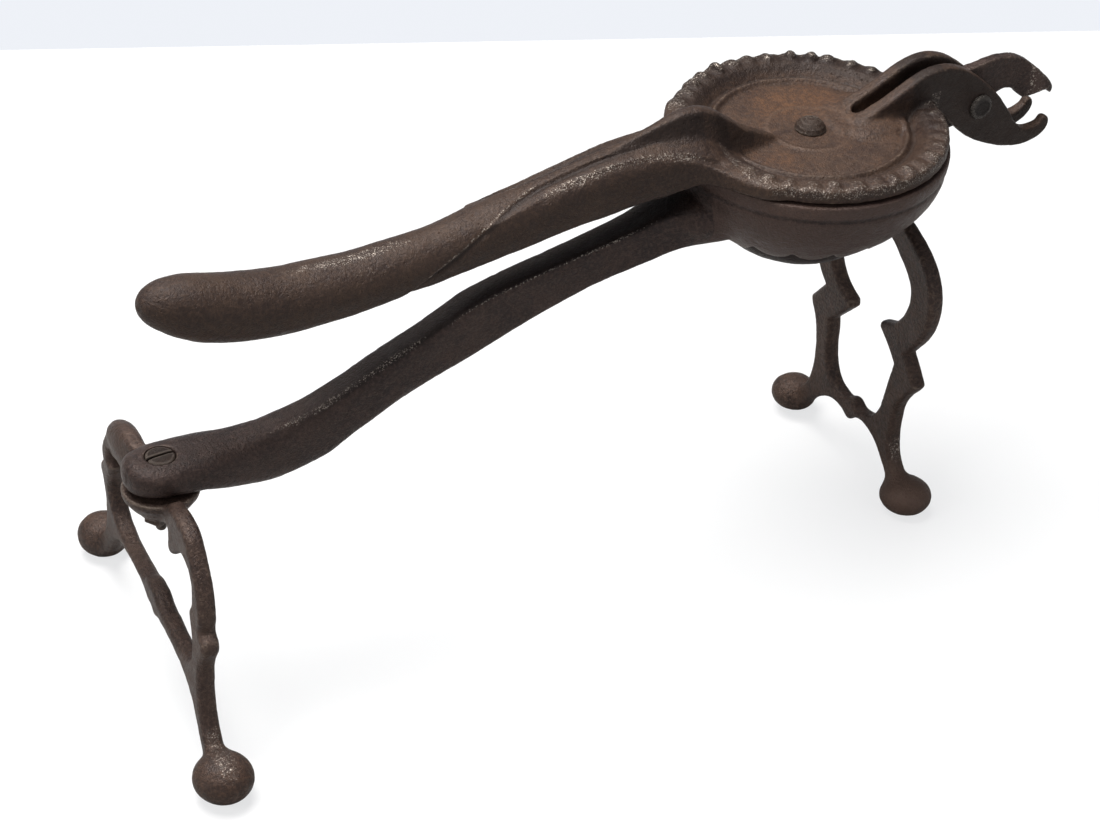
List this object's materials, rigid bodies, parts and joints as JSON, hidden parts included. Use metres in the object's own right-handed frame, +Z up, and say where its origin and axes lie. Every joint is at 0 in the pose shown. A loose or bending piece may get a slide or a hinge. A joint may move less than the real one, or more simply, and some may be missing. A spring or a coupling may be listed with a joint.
{
  "type": "table nutcracker",
  "caption": "Footed cast-iron lever nutcracker: a hinged ornamental disc presses nuts in a round bowl, with plier jaws beyond the rivet.",
  "frame": {"origin": "middle of the object's bounding box, on the table under its feet", "axes": "+X along the levers towards the jaws, +Z up, Y across through the rivet"},
  "size_m": [0.3462, 0.1462, 0.1622],
  "materials": {
    "cast_lever": "old cast iron, dark brown-black patina, fine casting grain, edges rubbed brighter",
    "cast_disc": "old cast iron, warm brown patina with orange rust in the hollows",
    "cast_legs": "old cast iron, brown patina rubbed lighter on the feet and edges",
    "rivet_steel": "dull darkened steel with a worn rim",
    "screw_rusty": "rusty brown steel"
  },
  "bodies": {
    "bowl_lever": {"bowl_lever": "cast_lever", "hinge_pin": "rivet_steel", "front_legs": "cast_legs", "front_leg_screw": "screw_rusty", "rear_legs": "cast_legs", "rear_leg_screw": "rivet_steel", "rear_leg_nut": "screw_rusty"},
    "disc_lever": {"disc_lever": "cast_disc", "presser": "cast_lever", "presser_screw": "screw_rusty"}
  },
  "joints": [
    {"name": "lever_hinge", "type": "hinge", "parent": "bowl_lever", "child": "disc_lever", "pos_m": [0.1374, 0, 0.1415], "axis": [0, 1, 0], "range_deg": [0, 90]}
  ]
}
